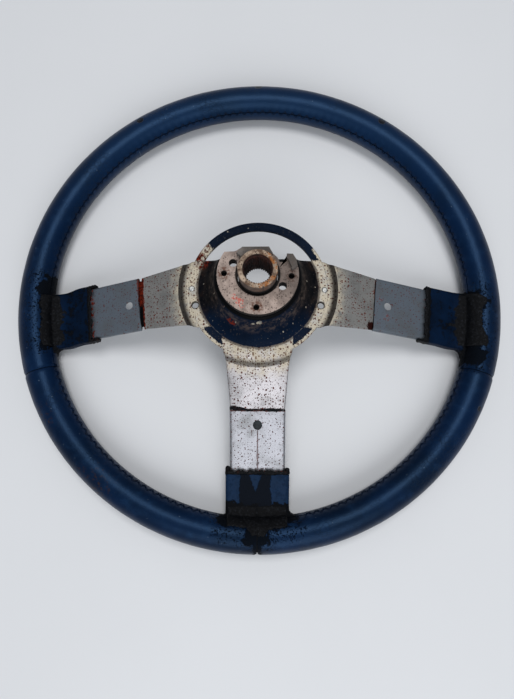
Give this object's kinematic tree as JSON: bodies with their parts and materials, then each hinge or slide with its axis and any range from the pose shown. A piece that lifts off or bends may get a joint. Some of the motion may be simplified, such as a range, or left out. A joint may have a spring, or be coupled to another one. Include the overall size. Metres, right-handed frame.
{
  "type": "steering wheel",
  "caption": "Car steering wheel with a stitched leather rim, flat pressed spokes and a dished hub with a splined boss, shown without its horn pad.",
  "frame": {"origin": "on the wheel axis, in the plane that the front of the rim rests on", "axes": "+Z along the wheel axis towards the steering column, +Y towards the top of the wheel, +X to the right as seen from the column side"},
  "size_m": [0.381, 0.381, 0.0954],
  "materials": {
    "hoop_steel": "plain rod",
    "grip_foam": "moulded grip core",
    "leather": "worn dark navy leather",
    "thread": "dark lacing thread",
    "spoke_pad": "navy skin with dried black adhesive",
    "blade_steel": "worn silver with rust specks",
    "hub_paint": "silver arms, blue-black dome and ring, rusty edges",
    "hub_casting": "grimy machined casting",
    "boss_steel": "surface rust",
    "rivet_steel": "dull",
    "plug_rubber": "matt"
  },
  "bodies": {
    "root": {"rim_hoop": "hoop_steel", "rim_foam": "grip_foam", "rim_leather_upper": "leather", "rim_leather_lower_left": "leather", "rim_leather_lower_right": "leather", "seam_thread_upper": "thread", "seam_thread_lower_left": "thread", "seam_thread_lower_right": "thread", "spoke_pad_left": "spoke_pad", "spoke_pad_right": "spoke_pad", "spoke_pad_bottom": "spoke_pad", "spoke_blade_left": "blade_steel", "spoke_blade_right": "blade_steel", "spoke_blade_bottom": "blade_steel", "hub_spider": "hub_paint", "hub_flange": "hub_casting", "hub_boss": "boss_steel", "ring_rivet_left": "rivet_steel", "ring_rivet_right": "rivet_steel", "spoke_plug_bottom": "plug_rubber"}
  },
  "joints": []
}
